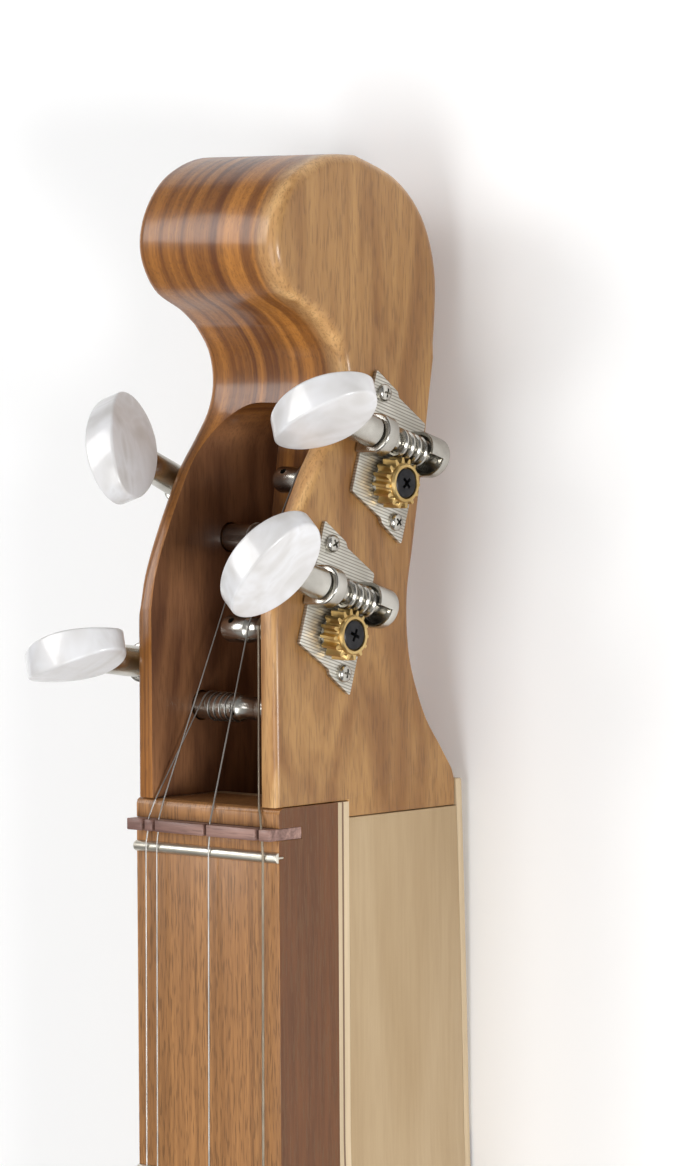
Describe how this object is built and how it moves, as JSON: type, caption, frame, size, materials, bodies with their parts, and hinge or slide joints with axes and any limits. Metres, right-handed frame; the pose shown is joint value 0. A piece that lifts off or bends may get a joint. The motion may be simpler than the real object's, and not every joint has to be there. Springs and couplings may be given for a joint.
{
  "type": "mountain dulcimer",
  "caption": "Fretted lap zither with a full-length raised fretboard, scroll head, open peg slot and geared tuners with pearl buttons.",
  "frame": {"origin": "middle of the length and width, on the plane that the back rests on", "axes": "+X from the scroll to the tail, +Y to the bass side, +Z out of the fretboard"},
  "size_m": [0.9099, 0.1798, 0.0901],
  "materials": {
    "head_walnut": "satin oil",
    "board_walnut": "satin oil",
    "soundboard_laminate": "satin, light and dark plies at the edge",
    "back_laminate": "satin",
    "side_maple": "satin",
    "end_block": "satin",
    "brace_spruce": "bare",
    "nut_wood": "oiled",
    "bridge_wood": "oiled",
    "fret_wire": "polished nickel silver",
    "string_steel": "bright plain steel",
    "pin_steel": "nickel plated",
    "tuner_nickel": "nickel plated",
    "gear_brass": "bare brass",
    "screw_black": "black oxide",
    "button_pearl": "pearl celluloid, polished"
  },
  "bodies": {
    "body": {"headstock": "head_walnut", "fretboard": "board_walnut", "soundboard": "soundboard_laminate", "back": "back_laminate", "side_bass": "side_maple", "side_treble": "side_maple", "tail_block": "end_block", "top_brace_upper": "brace_spruce", "top_brace_lower": "brace_spruce", "back_brace_upper": "brace_spruce", "back_brace_lower": "brace_spruce", "nut": "nut_wood", "bridge": "bridge_wood", "zero_fret": "fret_wire", "fret_1": "fret_wire", "fret_2": "fret_wire", "fret_3": "fret_wire", "fret_4": "fret_wire", "fret_5": "fret_wire", "fret_6": "fret_wire", "fret_7": "fret_wire", "fret_8": "fret_wire", "fret_9": "fret_wire", "fret_10": "fret_wire", "fret_11": "fret_wire", "fret_12": "fret_wire", "fret_13": "fret_wire", "fret_14": "fret_wire", "melody_outer_string": "string_steel", "melody_outer_hitch_pin": "pin_steel", "melody_outer_tuner_plate": "tuner_nickel", "melody_inner_string": "string_steel", "melody_inner_hitch_pin": "pin_steel", "melody_inner_tuner_plate": "tuner_nickel", "middle_string": "string_steel", "middle_hitch_pin": "pin_steel", "middle_tuner_plate": "tuner_nickel", "bass_string": "string_steel", "bass_hitch_pin": "pin_steel", "bass_tuner_plate": "tuner_nickel"},
    "melody_outer_worm": {"melody_outer_worm_shaft": "tuner_nickel", "melody_outer_button": "button_pearl"},
    "melody_outer_post": {"melody_outer_gear": "gear_brass", "melody_outer_post": "tuner_nickel", "melody_outer_gear_screw": "screw_black"},
    "melody_inner_worm": {"melody_inner_worm_shaft": "tuner_nickel", "melody_inner_button": "button_pearl"},
    "melody_inner_post": {"melody_inner_gear": "gear_brass", "melody_inner_post": "tuner_nickel", "melody_inner_gear_screw": "screw_black"},
    "middle_worm": {"middle_worm_shaft": "tuner_nickel", "middle_button": "button_pearl"},
    "middle_post": {"middle_gear": "gear_brass", "middle_post": "tuner_nickel", "middle_gear_screw": "screw_black"},
    "bass_worm": {"bass_worm_shaft": "tuner_nickel", "bass_button": "button_pearl"},
    "bass_post": {"bass_gear": "gear_brass", "bass_post": "tuner_nickel", "bass_gear_screw": "screw_black"}
  },
  "joints": [
    {"name": "melody_outer_worm_turn", "type": "hinge", "parent": "body", "child": "melody_outer_worm", "pos_m": [-0.33512, -0.02795, 0.04844], "axis": [-0.1305, 0, 0.9914], "continuous": true},
    {"name": "melody_outer_post_turn", "type": "hinge", "parent": "body", "child": "melody_outer_post", "pos_m": [-0.3263, -0.0225, 0.0496], "axis": [0, -1, 0], "continuous": true},
    {"name": "melody_inner_worm_turn", "type": "hinge", "parent": "body", "child": "melody_inner_worm", "pos_m": [-0.3736, -0.02795, 0.03591], "axis": [-0.4147, 0, 0.91], "continuous": true},
    {"name": "melody_inner_post_turn", "type": "hinge", "parent": "body", "child": "melody_inner_post", "pos_m": [-0.3655, -0.0225, 0.0396], "axis": [0, -1, 0], "continuous": true},
    {"name": "middle_worm_turn", "type": "hinge", "parent": "body", "child": "middle_worm", "pos_m": [-0.38749, 0.02795, 0.02832], "axis": [0.3007, 0, -0.9537], "continuous": true},
    {"name": "middle_post_turn", "type": "hinge", "parent": "body", "child": "middle_post", "pos_m": [-0.379, 0.0225, 0.031], "axis": [0, 1, 0], "continuous": true},
    {"name": "bass_worm_turn", "type": "hinge", "parent": "body", "child": "bass_worm", "pos_m": [-0.35319, 0.02795, 0.04642], "axis": [0.3007, 0, -0.9537], "continuous": true},
    {"name": "bass_post_turn", "type": "hinge", "parent": "body", "child": "bass_post", "pos_m": [-0.3447, 0.0225, 0.0491], "axis": [0, 1, 0], "continuous": true}
  ],
  "couplings": [
    {"joint": "melody_outer_post_turn", "follows": "melody_outer_worm_turn", "ratio": 0.066667},
    {"joint": "melody_inner_post_turn", "follows": "melody_inner_worm_turn", "ratio": 0.066667},
    {"joint": "middle_post_turn", "follows": "middle_worm_turn", "ratio": 0.066667},
    {"joint": "bass_post_turn", "follows": "bass_worm_turn", "ratio": 0.066667}
  ]
}
